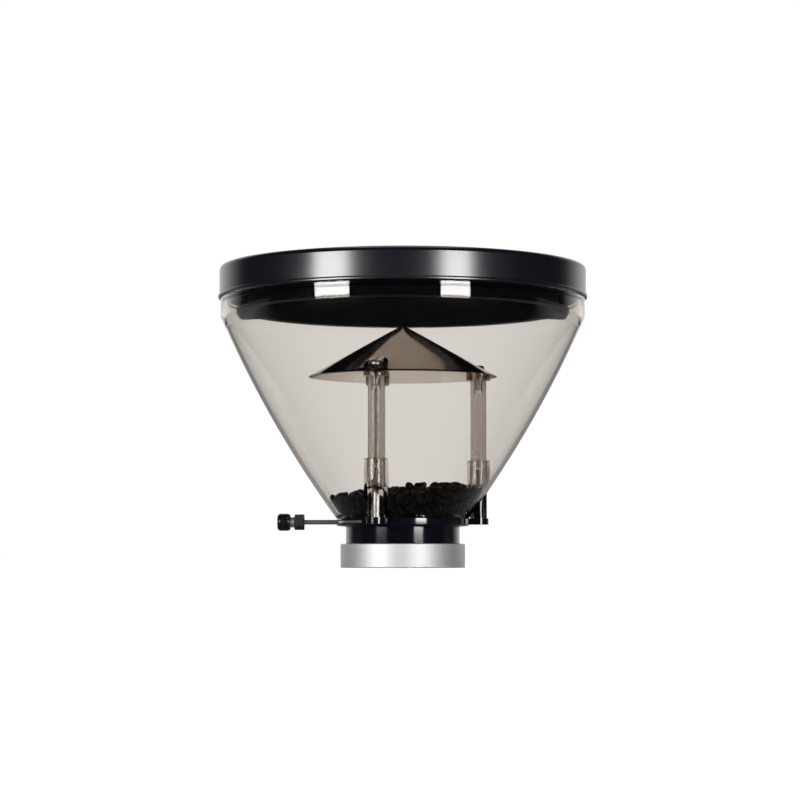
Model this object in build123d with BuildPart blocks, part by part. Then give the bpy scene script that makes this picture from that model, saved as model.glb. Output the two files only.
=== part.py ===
from build123d import *
import os
from math import cos, degrees, hypot, pi, radians, sin, sqrt

# Bean hopper of a shop coffee grinder, in millimetres, +Z up.
# The origin is the centre of the collar's lower face. The gate pulls out along -X.

# Throat collar: the polished ring that drops into the grinder
collar_r = 40.6
collar_height = 15.5
collar_edge = 0.6

# Gate housing: spigot, neck, flange and funnel in one moulding
throat_r = 32.5
spigot_wall = 4.0
spigot_clearance = 0.05
spigot_recess = 1.0
neck_wall = 4.7
neck_height = 11.0
flange_rise = 0.7
flange_thickness = 4.8
flange_inset = 0.2
funnel_height = 3.0
funnel_lip = 1.0
funnel_land = 1.0
ear_r = 6.5
ear_thickness = 4.0

# Hopper shell: bulged cone with a stepped rim
seat_r = 43.2
seat_ring_width = 4.2
seat_clearance = 0.3
cone_height = 131.0
cone_bulge = 3.9
shell_wall = 2.5
rim_r = 119.2
rim_height = 12.6
rim_step = 2.0
rim_lip_wall = 2.2
rim_lip_height = 6.0
rim_edge = 0.5

# Lid: cap with a hanging skirt that ends in a flange
lid_clearance = 0.4
lid_wall = 2.4
lid_height = 20.9
lid_top = 3.0
lid_edge = 3.0
lid_dish = 1.0
lid_border = 9.0
lid_dish_edge = 0.8
bead_proud = 0.85
bead_height = 2.2
bead_edge = 0.7
skirt_r = 102.0
skirt_wall = 2.5
skirt_drop = 8.6
skirt_flange_width = 7.0
skirt_flange_thickness = 2.0

# Finger guard: a conical roof on three posts
post_spread_angle = 110.0
post_d = 10.4
post_length = 76.0
post_rise = 20.0
post_clearance = 0.1
post_edge = 0.4
socket_wall = 2.2
socket_depth = 18.0
boss_d = 11.0
roof_r = 61.9
roof_overhang = 12.4
roof_rise = 34.3
roof_wall = 2.0
roof_cover = 3.6
roof_socket_wall = 2.7
roof_socket_depth = 5.5
roof_seat = 1.6

# Screws: the same thread at both ends of the posts
screw_d = 4.0
screw_clearance = 0.2
screw_grip = 12.0
screw_hole_spare = 2.0
screw_head_d = 8.0
screw_head_height = 2.6
screw_head_edge = 1.5
screw_sink = 2.0
screw_slot_width = 1.1
screw_slot_depth = 1.0
head_clearance = 0.5

# Slide gate, pulled by a rod and a knob
gate_depth = 2.4
plate_thickness = 1.5
plate_lap = 1.5
plate_gap = 0.1
plate_side_gap = 0.3
plate_inset = 0.7
rod_d = 3.0
rod_gap = 0.3
rod_grip = 8.0
rod_free = 21.7
rod_thread = 15.0
stop_pin_d = 3.0
stop_head_d = 5.0
stop_head_height = 1.2
stop_inset = 3.5
nut_flats = 8.8
nut_length = 6.6
nut_edge = 0.5
washer_d = 7.0
washer_thickness = 2.6
knob_d = 11.2
knob_length = 8.5
knob_edge = 1.2

# Roasted beans lying on the closed gate
bean_length = 10.0
bean_width = 6.6
bean_sides = 8
bean_sections = (-0.95, -0.6, 0.0, 0.6, 0.95)
bean_count = 70
bean_spacing = 5.9
bean_nod_angle = 12.0
bean_nods = 3
bean_turns = 5
bean_lift = 1.65
bean_gap = 0.3
heap_height = 17.0
heap_slope_angle = 4.6

# Levels that follow from the sizes above
spigot_r = throat_r + spigot_wall
neck_r = throat_r + neck_wall
neck_top_z = collar_height + neck_height
flange_z = neck_top_z + flange_rise
seat_z = flange_z + flange_thickness
funnel_top_z = seat_z + funnel_height
seat_bore_r = seat_r - seat_ring_width
cone_top_z = seat_z + cone_height
step_z = cone_top_z + rim_height
rim_lip_r = rim_r - rim_step
rim_lip_z = step_z + rim_lip_height
lid_inner_r = rim_lip_r + lid_clearance
lid_r = lid_inner_r + lid_wall
lid_z = step_z + lid_height
skirt_z = step_z - skirt_drop
post_circle_r = roof_r - roof_overhang
post_z = seat_z + post_rise
post_top_z = post_z + post_length
socket_top_z = post_z + socket_depth
socket_r = post_d / 2 + post_clearance + socket_wall
roof_slope = roof_rise / roof_r
roof_base_z = post_top_z + roof_cover - roof_overhang * roof_slope
roof_apex_z = roof_base_z + roof_rise
roof_socket_r = post_d / 2 + post_clearance + roof_socket_wall
roof_socket_z = post_top_z - roof_socket_depth
roof_seat_z = post_top_z + roof_seat
gate_z = seat_z - gate_depth
plate_r = throat_r + plate_lap
plate_top_z = gate_z + plate_thickness / 2
slot_height = plate_thickness + 2 * plate_gap
funnel_z = gate_z + slot_height / 2 + funnel_land
plate_rear_r = seat_r - flange_inset * gate_depth / flange_thickness - plate_inset
stop_x = throat_r - stop_inset
screw_hole_r = screw_d / 2 + screw_clearance

# The three posts, one at the right and two astride the gate's side
post_angles = {"right": 0.0, "rear": post_spread_angle, "front": -post_spread_angle}
post_points = [
    (post_circle_r * cos(radians(a)), post_circle_r * sin(radians(a)))
    for a in post_angles.values()
]


def cone_arc(inset):
    """Start, middle and end of the cone's outline, as radius and height, moved inwards by inset."""
    run, rise = rim_r - seat_r, cone_height
    chord = hypot(run, rise)
    out_r, out_z = rise / chord, -run / chord
    arc_r = chord**2 / (8 * cone_bulge) + cone_bulge / 2
    mid_r, mid_z = (seat_r + rim_r) / 2, (seat_z + cone_top_z) / 2
    centre_r = mid_r - out_r * (arc_r - cone_bulge)
    centre_z = mid_z - out_z * (arc_r - cone_bulge)
    share = (arc_r - inset) / arc_r
    start = (centre_r + (seat_r - centre_r) * share, centre_z + (seat_z - centre_z) * share)
    middle = (centre_r + out_r * (arc_r - inset), centre_z + out_z * (arc_r - inset))
    end = (centre_r + (rim_r - centre_r) * share, centre_z + (cone_top_z - centre_z) * share)
    return start, middle, end


def raised(points, height):
    """The same points at one height."""
    return [(x, y, height) for x, y in points]


# Polished collar
with BuildPart() as throat_collar:
    with BuildSketch(Plane.XY):
        Circle(collar_r)
        Circle(spigot_r + spigot_clearance, mode=Mode.SUBTRACT)
    extrude(amount=collar_height)
    collar_rims = throat_collar.edges().filter_by(GeomType.CIRCLE)
    chamfer(collar_rims.sort_by(SortBy.RADIUS)[-2:], collar_edge)

# Black gate housing
with BuildPart() as gate_housing:
    with BuildSketch(Plane.XZ):
        with BuildLine():
            Polyline(
                (throat_r, spigot_recess),
                (spigot_r, spigot_recess),
                (spigot_r, collar_height),
                (neck_r, collar_height),
                (neck_r, neck_top_z),
                (seat_r - flange_inset, flange_z),
                (seat_r, seat_z),
                (seat_bore_r - seat_clearance, seat_z),
                (seat_bore_r - seat_clearance, funnel_top_z),
                (seat_bore_r - seat_clearance - funnel_lip, funnel_top_z),
                (throat_r, funnel_z),
                close=True,
            )
        make_face()
    revolve(axis=Axis.Z)
    ear_root_r = throat_r + ear_r
    ear_middle_r = (ear_root_r + post_circle_r) / 2
    with BuildSketch(Plane.XY.offset(seat_z - ear_thickness)):
        for angle in post_angles.values():
            with PolarLocations(ear_middle_r, 1, start_angle=angle):
                SlotCenterToCenter(post_circle_r - ear_root_r, 2 * ear_r)
        Circle((throat_r + neck_r) / 2, mode=Mode.SUBTRACT)
    extrude(amount=ear_thickness)
    with Locations(*[Location((x, y, seat_z - ear_thickness), (180, 0, 0)) for x, y in post_points]):
        CounterSinkHole(screw_hole_r, screw_head_d / 2 + screw_clearance, depth=ear_thickness)
    slot_half = plate_r + plate_side_gap
    with BuildSketch(Plane.XY.offset(gate_z - slot_height / 2)):
        Circle(slot_half)
        with Locations((-seat_r, 0)):
            Rectangle(2 * seat_r, 2 * slot_half)
    extrude(amount=slot_height, mode=Mode.SUBTRACT)
    with BuildSketch(Plane((-throat_r, 0, gate_z), z_dir=(-1, 0, 0))):
        Circle(rod_d / 2 + rod_gap)
    extrude(amount=seat_r, both=True, mode=Mode.SUBTRACT)

# Space for the beans, with the post sockets left standing in it
with BuildPart() as cavity:
    inner_start, inner_middle, inner_end = cone_arc(shell_wall)
    lip_bore_r = rim_lip_r - rim_lip_wall
    with BuildSketch(Plane.XZ):
        with BuildLine():
            ThreePointArc(inner_start, inner_middle, inner_end)
            Polyline(
                inner_end,
                (inner_end[0], step_z - rim_step - (inner_end[0] - lip_bore_r)),
                (lip_bore_r, step_z - rim_step),
                (lip_bore_r, rim_lip_z),
                (0, rim_lip_z),
                (0, inner_start[1]),
                inner_start,
            )
        make_face()
    revolve(axis=Axis.Z)
    with Locations(*raised(post_points, seat_z)):
        Cylinder(
            socket_r,
            socket_top_z - seat_z,
            align=(Align.CENTER, Align.CENTER, Align.MIN),
            mode=Mode.SUBTRACT,
        )

# Smoked shell
with BuildPart() as hopper_shell:
    outer_start, outer_middle, outer_end = cone_arc(0)
    with BuildSketch(Plane.XZ):
        with BuildLine():
            ThreePointArc(outer_start, outer_middle, outer_end)
            Polyline(
                outer_end,
                (rim_r, step_z),
                (rim_lip_r, step_z),
                (rim_lip_r, rim_lip_z),
                (0, rim_lip_z),
                (0, seat_z),
                outer_start,
            )
        make_face()
    revolve(axis=Axis.Z)
    add(cavity.part, mode=Mode.SUBTRACT)
    with BuildSketch(Plane.XY.offset(seat_z)):
        Circle(seat_r)
    extrude(amount=funnel_height)
    with BuildSketch(Plane.XY.offset(seat_z)):
        Circle(seat_bore_r)
    extrude(amount=funnel_height, mode=Mode.SUBTRACT)
    with Locations(*raised(post_points, seat_z)):
        Cylinder(boss_d / 2, post_rise, align=(Align.CENTER, Align.CENTER, Align.MIN))
    with Locations(*raised(post_points, post_z)):
        Cylinder(
            post_d / 2 + post_clearance,
            socket_depth,
            align=(Align.CENTER, Align.CENTER, Align.MIN),
            mode=Mode.SUBTRACT,
        )
    with Locations(*raised(post_points, seat_z)):
        Cylinder(
            screw_hole_r,
            post_rise,
            align=(Align.CENTER, Align.CENTER, Align.MIN),
            mode=Mode.SUBTRACT,
        )
    rim_circles = hopper_shell.edges().filter_by(GeomType.CIRCLE).group_by(Axis.Z)[-1]
    fillet(rim_circles, rim_edge)

# Black lid
with BuildPart() as lid:
    dish_r = lid_r - lid_border
    pick_tolerance = bead_proud / 10
    top_z = lid_z - lid_top
    skirt_flange_top_z = skirt_z + skirt_flange_thickness
    with BuildSketch(Plane.XZ):
        with BuildLine():
            Polyline(
                (0, top_z),
                (skirt_r - skirt_wall, top_z),
                (skirt_r - skirt_wall, skirt_z),
                (skirt_r + skirt_flange_width, skirt_z),
                (skirt_r + skirt_flange_width, skirt_flange_top_z),
                (skirt_r, skirt_flange_top_z),
                (skirt_r, top_z),
                (lid_inner_r, top_z),
                (lid_inner_r, step_z),
                (lid_r + bead_proud, step_z),
                (lid_r + bead_proud, step_z + bead_height),
                (lid_r, step_z + bead_height),
                (lid_r, lid_z),
                (dish_r, lid_z),
                (dish_r, lid_z - lid_dish),
                (0, lid_z - lid_dish),
                close=True,
            )
        make_face()
    revolve(axis=Axis.Z)
    lid_circles = lid.edges().filter_by(GeomType.CIRCLE)
    fillet(lid_circles.group_by(Axis.Z)[-1].sort_by(SortBy.RADIUS)[-1:], lid_edge)
    dish_circles = lid.edges().filter_by(GeomType.CIRCLE).filter_by(
        lambda edge: abs(edge.radius - dish_r) < pick_tolerance
    )
    fillet(dish_circles.group_by(Axis.Z)[-1], lid_dish_edge)
    bead_circles = lid.edges().filter_by(GeomType.CIRCLE).filter_by(
        lambda edge: abs(edge.radius - lid_r - bead_proud) < pick_tolerance
    )
    fillet(bead_circles, bead_edge)

# Smoked conical roof with sockets for the posts
with BuildPart() as guard_roof:
    wall_drop = roof_wall * sqrt(1 + roof_slope**2)
    roof_inner_r = roof_r - wall_drop / roof_slope
    with BuildSketch(Plane.XZ):
        with BuildLine():
            Polyline(
                (0, roof_apex_z - wall_drop),
                (roof_inner_r, roof_base_z),
                (roof_r, roof_base_z),
                (0, roof_apex_z),
                close=True,
            )
        make_face()
    revolve(axis=Axis.Z)
    with Locations(*raised(post_points, roof_socket_z)):
        Cylinder(
            roof_socket_r,
            roof_apex_z - roof_socket_z,
            align=(Align.CENTER, Align.CENTER, Align.MIN),
        )
    outside_r = roof_r + roof_socket_r
    with BuildSketch(Plane.XZ):
        with BuildLine():
            Polyline(
                (0, roof_apex_z),
                (outside_r, roof_apex_z - outside_r * roof_slope),
                (outside_r, roof_apex_z + roof_wall),
                (0, roof_apex_z + roof_wall),
                close=True,
            )
        make_face()
    revolve(axis=Axis.Z, mode=Mode.SUBTRACT)
    with Locations(*raised(post_points, roof_socket_z)):
        Cylinder(
            post_d / 2 + post_clearance,
            roof_socket_depth,
            align=(Align.CENTER, Align.CENTER, Align.MIN),
            mode=Mode.SUBTRACT,
        )
    with Locations(*raised(post_points, post_top_z)):
        Cylinder(
            screw_hole_r,
            roof_seat,
            align=(Align.CENTER, Align.CENTER, Align.MIN),
            mode=Mode.SUBTRACT,
        )
    with Locations(*raised(post_points, roof_seat_z)):
        Cylinder(
            screw_head_d / 2 + head_clearance,
            roof_rise,
            align=(Align.CENTER, Align.CENTER, Align.MIN),
            mode=Mode.SUBTRACT,
        )

# Three smoked posts, drilled at both ends
post_builders = {}
for side, (post_x, post_y) in zip(post_angles, post_points):
    with BuildPart() as guard_post:
        with BuildSketch(Plane((post_x, post_y, post_z))):
            Circle(post_d / 2)
        extrude(amount=post_length)
        chamfer(guard_post.edges().filter_by(GeomType.CIRCLE), post_edge)
        for end_z in (post_z, post_top_z):
            with Locations((post_x, post_y, end_z)):
                Cylinder(screw_d / 2, 2 * (screw_grip + screw_hole_spare), mode=Mode.SUBTRACT)
    post_builders[side] = guard_post

# Domed screws that hold the roof to the posts
with BuildPart() as roof_screws:
    for post_x, post_y in post_points:
        with BuildSketch(Plane((post_x, post_y, roof_seat_z))):
            Circle(screw_head_d / 2)
        extrude(amount=screw_head_height)
        with BuildSketch(Plane((post_x, post_y, roof_seat_z))):
            Circle(screw_d / 2)
        extrude(amount=-(roof_seat + screw_grip))
    fillet(roof_screws.edges().filter_by(GeomType.CIRCLE).group_by(Axis.Z)[-1], screw_head_edge)
    slot_z = roof_seat_z + screw_head_height - screw_slot_depth
    for post_x, post_y in post_points:
        with BuildSketch(Plane((post_x, post_y, slot_z))):
            Rectangle(screw_head_d, screw_slot_width)
        extrude(amount=screw_slot_depth, mode=Mode.SUBTRACT)

# Countersunk screws that clamp housing, shell and posts together
with BuildPart() as base_screws:
    ear_z = seat_z - ear_thickness
    for post_x, post_y in post_points:
        with BuildSketch(Plane((post_x, post_y, ear_z))):
            Circle(screw_d / 2)
        extrude(amount=ear_thickness + post_rise + screw_grip)
        with BuildSketch(Plane((post_x, post_y, ear_z))):
            Circle(screw_head_d / 2)
        with BuildSketch(Plane((post_x, post_y, ear_z + screw_sink))):
            Circle(screw_d / 2)
        loft()
    for post_x, post_y in post_points:
        with BuildSketch(Plane((post_x, post_y, ear_z))):
            Rectangle(screw_head_d, screw_slot_width)
        extrude(amount=screw_slot_depth, mode=Mode.SUBTRACT)

# Steel gate plate: round nose, and a tail that follows the housing
with BuildPart() as gate_plate:
    with BuildSketch(Plane.XY.offset(gate_z - plate_thickness / 2)):
        Circle(plate_rear_r)
        with Locations((-plate_rear_r / 2, 0)):
            Rectangle(plate_rear_r, 2 * plate_r, mode=Mode.INTERSECT)
        Circle(plate_r)
        with Locations((-plate_rear_r + rod_grip / 2, 0)):
            Rectangle(rod_grip, rod_d, mode=Mode.SUBTRACT)
        with Locations((stop_x, 0)):
            Circle(stop_pin_d / 2, mode=Mode.SUBTRACT)
    extrude(amount=plate_thickness)

# Rivet under the plate's nose, which meets the throat's wall when the gate is fully out
with BuildPart() as gate_stop_rivet:
    with BuildSketch(Plane((stop_x, 0, plate_top_z))):
        Circle(stop_pin_d / 2)
    extrude(amount=-plate_thickness)
    with BuildSketch(Plane((stop_x, 0, gate_z - plate_thickness / 2))):
        Circle(stop_head_d / 2)
    extrude(amount=-stop_head_height)
    fillet(gate_stop_rivet.edges().filter_by(GeomType.CIRCLE).group_by(Axis.Z)[0], stop_head_height / 2)

# Rod welded into the plate's notch
rod_start_x = -plate_rear_r + rod_grip
nut_x = -plate_rear_r - rod_free
washer_x = nut_x - nut_length
knob_x = washer_x - washer_thickness
rod_end_x = nut_x - rod_thread
with BuildPart() as gate_rod:
    with BuildSketch(Plane((rod_start_x, 0, gate_z), z_dir=(-1, 0, 0))):
        Circle(rod_d / 2)
    extrude(amount=rod_start_x - rod_end_x)

with BuildPart() as knob_lock_nut:
    with BuildSketch(Plane((nut_x, 0, gate_z), z_dir=(-1, 0, 0))):
        RegularPolygon(nut_flats / 2, 6, major_radius=False)
        Circle(rod_d / 2, mode=Mode.SUBTRACT)
    extrude(amount=nut_length)
    nut_ends = knob_lock_nut.faces().filter_by(Axis.X)
    chamfer(nut_ends.edges().filter_by(GeomType.LINE), nut_edge)

with BuildPart() as knob_washer:
    with BuildSketch(Plane((washer_x, 0, gate_z), z_dir=(-1, 0, 0))):
        Circle(washer_d / 2)
        Circle(rod_d / 2, mode=Mode.SUBTRACT)
    extrude(amount=washer_thickness)

with BuildPart() as gate_knob:
    with BuildSketch(Plane((knob_x, 0, gate_z), z_dir=(-1, 0, 0))):
        Circle(knob_d / 2)
    extrude(amount=knob_length)
    fillet(gate_knob.edges().filter_by(GeomType.CIRCLE), knob_edge)
    with BuildSketch(Plane((knob_x, 0, gate_z), z_dir=(-1, 0, 0))):
        Circle(rod_d / 2)
    extrude(amount=knob_x - rod_end_x, mode=Mode.SUBTRACT)

# One roasted bean, lying along X: a faceted ellipsoid
with BuildPart() as bean:
    for share in bean_sections:
        with BuildSketch(Plane.YZ.offset(share * bean_length / 2)):
            RegularPolygon(bean_width / 2 * sqrt(1 - share**2), bean_sides)
    loft(ruled=True)

# The beans: a bed with a sloping top of half-sunk beans, spread by the golden angle
golden_angle = degrees(pi * (3 - sqrt(5)))
heap_tilt = radians(heap_slope_angle)
heap_plane = Plane((0, 0, seat_z + heap_height), z_dir=(-sin(heap_tilt), 0, cos(heap_tilt)))
bean_places = []
for step in range(bean_count):
    around = Vector(bean_spacing * sqrt(step + 0.5), 0, 0).rotate(Axis.Z, step * golden_angle)
    lift = bean_lift * sin(step * golden_angle)
    turn = (0, step % bean_nods * bean_nod_angle, bean_turns * step * golden_angle)
    bean_places.append(heap_plane * Location((around.X, around.Y, lift), turn))
heap_start, heap_middle, heap_end = cone_arc(shell_wall + bean_gap)
funnel_top_r = seat_bore_r - seat_clearance - funnel_lip
bed_z = funnel_top_z + bean_gap
with BuildPart() as roasted_beans:
    with BuildSketch(heap_plane):
        Rectangle(2 * rim_r, 2 * rim_r)
    extrude(amount=-2 * seat_z)
    with Locations(*bean_places):
        add(bean.part)
    with BuildSketch(Plane.XZ):
        with BuildLine():
            ThreePointArc(heap_start, heap_middle, heap_end)
            Polyline(heap_end, (0, heap_end[1]), (0, heap_start[1]), heap_start)
        make_face()
        with Locations((0, bed_z)):
            Rectangle(2 * rim_r, 2 * rim_r, align=(Align.CENTER, Align.MAX), mode=Mode.SUBTRACT)
    revolve(axis=Axis.Z, mode=Mode.INTERSECT)
    with BuildSketch(Plane.XZ):
        with BuildLine():
            Polyline(
                (0, plate_top_z + bean_gap),
                (throat_r - bean_gap, plate_top_z + bean_gap),
                (throat_r - bean_gap, funnel_z + bean_gap),
                (funnel_top_r - bean_gap, bed_z),
                (0, bed_z),
                close=True,
            )
        make_face()
    revolve(axis=Axis.Z)
    with Locations(*raised(post_points, seat_z)):
        Cylinder(
            socket_r + bean_gap,
            socket_top_z - seat_z,
            align=(Align.CENTER, Align.CENTER, Align.MIN),
            mode=Mode.SUBTRACT,
        )

pieces = {
    "throat_collar": throat_collar,
    "gate_housing": gate_housing,
    "hopper_shell": hopper_shell,
    "lid": lid,
    "guard_roof": guard_roof,
    "guard_post_right": post_builders["right"],
    "guard_post_rear": post_builders["rear"],
    "guard_post_front": post_builders["front"],
    "roof_screws": roof_screws,
    "base_screws": base_screws,
    "gate_plate": gate_plate,
    "gate_stop_rivet": gate_stop_rivet,
    "gate_rod": gate_rod,
    "knob_lock_nut": knob_lock_nut,
    "knob_washer": knob_washer,
    "gate_knob": gate_knob,
    "roasted_beans": roasted_beans,
}
os.makedirs("parts", exist_ok=True)
for name, piece in pieces.items():
    piece.part.label = name
    export_step(piece.part, f"parts/{name}.step")
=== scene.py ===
import math

import bmesh
import bpy
import numpy as np
from bpy.props import FloatProperty, FloatVectorProperty, IntProperty, PointerProperty
from mathutils import Matrix, Vector


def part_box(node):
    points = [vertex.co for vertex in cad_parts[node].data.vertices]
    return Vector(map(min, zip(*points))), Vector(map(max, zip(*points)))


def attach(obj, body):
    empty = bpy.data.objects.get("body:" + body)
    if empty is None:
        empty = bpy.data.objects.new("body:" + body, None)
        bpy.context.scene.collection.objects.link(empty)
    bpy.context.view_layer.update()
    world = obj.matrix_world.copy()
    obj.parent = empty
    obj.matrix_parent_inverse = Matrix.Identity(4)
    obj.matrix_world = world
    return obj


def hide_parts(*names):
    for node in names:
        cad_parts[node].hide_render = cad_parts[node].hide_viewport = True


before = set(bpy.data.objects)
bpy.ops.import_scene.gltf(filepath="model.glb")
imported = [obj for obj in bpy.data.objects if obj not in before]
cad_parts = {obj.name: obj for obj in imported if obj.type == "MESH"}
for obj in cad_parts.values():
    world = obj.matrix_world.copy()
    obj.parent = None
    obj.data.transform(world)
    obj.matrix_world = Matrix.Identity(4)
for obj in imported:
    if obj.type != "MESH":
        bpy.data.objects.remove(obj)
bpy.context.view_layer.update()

bl_info = {
    "name": "Smoked Bean Hopper",
    "version": (1, 0, 0),
    "blender": (4, 5, 0),
    "location": "View3D > Sidebar > Bean Hopper",
    "description": "Builds the smoked bean hopper of a coffee grinder over its packed solids",
    "category": "Add Mesh",
}

POST_NODES = ("guard_post_right", "guard_post_rear", "guard_post_front")
PLATE_NODES = ("gate_plate", "gate_rod")
SCREW_NODES = ("gate_stop_rivet", "roof_screws", "base_screws")
WASHER_NODES = ("knob_washer",)
NUT_NODES = ("knob_lock_nut",)

# Steps of a full turn, and of a bowed edge.
ROUND_STEPS = 192
KNOB_STEPS = 72
SMALL_STEPS = 48
BOW_STEPS = 24

# Roundings of edges. All lengths are in metres.
HAIR_EDGE = 0.0003
FINE_EDGE = 0.0004
EDGE = 0.0005
SOFT_EDGE = 0.0006
BEAD_EDGE = 0.0007
BROAD_EDGE = 0.0008
KNOB_EDGE = 0.0009
SKIRT_EDGE = 0.001

# Distances at which vertices merge, half the width of a rod's middle that isn't drawn out, how far
# a joined or cutting solid reaches past a face, and the slack when faces are picked.
TURN_WELD = 1e-6
PIECE_WELD = 1e-7
AXIS_BAND = 1e-5
OVERLAP = 0.001
SLACK = 0.0001

# Shell and lid. INNER_DROP and SOCKET_COVER are shares of the wall: how far the cone's inside ends
# below its outside, and how much of the wall covers a socket. TOP_SLOPE is the least upward part of
# a normal on the lid's top.
SEAT_RING_HEIGHT = 0.003
SEAT_RING_WIDTH = 0.0042
INNER_DROP = 0.4
SOCKET_COVER = 0.2
TRIM_FOOT = 0.0005
TRIM_HEAD = 0.02
TOP_SLOPE = 0.7

# Finger guard. ROOF_TIP is the radius of the first ring of faces round the tip.
ROOF_TIP = 0.0012
ROOF_TRIM_WIDTH = 0.008
ROOF_TRIM_DEPTH = 0.01
THREAD_BITE = 0.0002

# Gate housing, collar and knob.
SPIGOT_WALL = 0.004
COLLAR_GAP = 0.00005
UPSTAND_INSET = 0.0045
UPSTAND_LIP = 0.001
FUNNEL_LAND = 0.001
EAR_TAIL = 0.0075
SINK_RADIUS = 0.0042
SINK_DEPTH = 0.0021
SLOT_MOUTH = 0.05
SLIDE_GAP = 0.0003
CHANNEL_REACH = (0.03, 0.06)
KNOB_FOOT = 0.0008
KNOB_CHAMFER = 0.0012
KNOB_SHOULDER = 0.0014
KNOB_BORDER = 0.0022
KNOB_DISH = 0.0002

# Heap of beans. The shares are of a bean's length, and LYING is how far beans stand up at first.
BEAN_SEED = 7
SETTLE_ROUNDS = 300
BALL_SHARE = 0.27
REACH_SHARE = 0.23
MARGIN_SHARE = 0.345
POUR_RADIUS = 0.05
POUR_HEIGHT = 0.045
LYING = 0.35
SINK_STEP = 0.00035
HEAP_TILT = 8.0
FUNNEL_INSET = 0.0055
FUNNEL_DEPTH = 0.0035
WALL_START = 0.0004
WALL_END = 0.06
WALL_LEVELS = 40
WALL_KEEP = 1.15
WALL_INWARDS = 0.75
WALL_UPWARDS = 0.43
TINY = 1e-9

# One bean, in shares of its length, and how beans differ.
BEAN_WIDTH = 0.68
BEAN_DEPTH = 0.6
BELLY_DEPTH = 0.5
CREASE_WIDTH = 0.01
CREASE_LENGTH = 0.45
CREASE_DEPTH = 0.07
BEAN_SIZES = (0.9, 1.0)
ROAST_SPREAD = 0.8

# Finishes. The tones are factors of a colour, and a metal's stretch is its lines to the metre.
WHITE = (1, 1, 1, 1)
SCRATCH_DEPTH = 0.00002
HAIRLINE_TURNS = (0.5, 1.9)
HAIRLINE_TWIST = (1.0, 0.7, 2.1)
HAIRLINE_STRETCH = (1.0, 24.0, 24.0)
HAIRLINE_SHARE = 0.3
MOTTLE_TONES = (0.75, 1.25)
LINE_TONES = (0.86, 1.12)
SPOT_SHARE = 0.35
COLLAR_STRETCH = (25.0, 25.0, 2600.0)
PLATE_STRETCH = (35.0, 2400.0, 2400.0)
SCREW_STRETCH = (900.0, 900.0, 900.0)
WASHER_STRETCH = (60.0, 1800.0, 1800.0)
NUT_STRETCH = (500.0, 1500.0, 1500.0)

# Stage. A side lamp has its name, its angle from the front in degrees, its width and its foot.
FLOOR_REACH = 20.0
FLOOR_GREY = (0.5, 0.5, 0.5)
FLOOR_GLOW = (0.82, 0.82, 0.82)
FLOOR_BOUNCE = 0.8
ROOM_BOUNCE = 0.35
SIDE_LAMPS = (("left_lamp", -43.0, 0.58, 0.062), ("right_lamp", 31.4, 0.47, 0.037))
SIDE_LAMP_HEAD = 0.438
SIDE_LAMP_AWAY = 1.5
SIDE_RADIANCE = 15.5
TOP_LAMP_PLACE = Vector((0.0, 0.1, 1.5))
TOP_LAMP_SIDE = 1.0
TOP_RADIANCE = 1.5
VIEW_MIDDLE = Vector((-0.0018, 0.0, 0.1095))
CAMERA_AWAY = 1.61
CAMERA_HEIGHT = 0.008
CAMERA_LENS = 110.9
CAMERA_SENSOR = 36.0
CAMERA_CLIP = (0.01, 50.0)
CLEAR_BOUNCES = 24
GLOSSY_BOUNCES = 8


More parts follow.
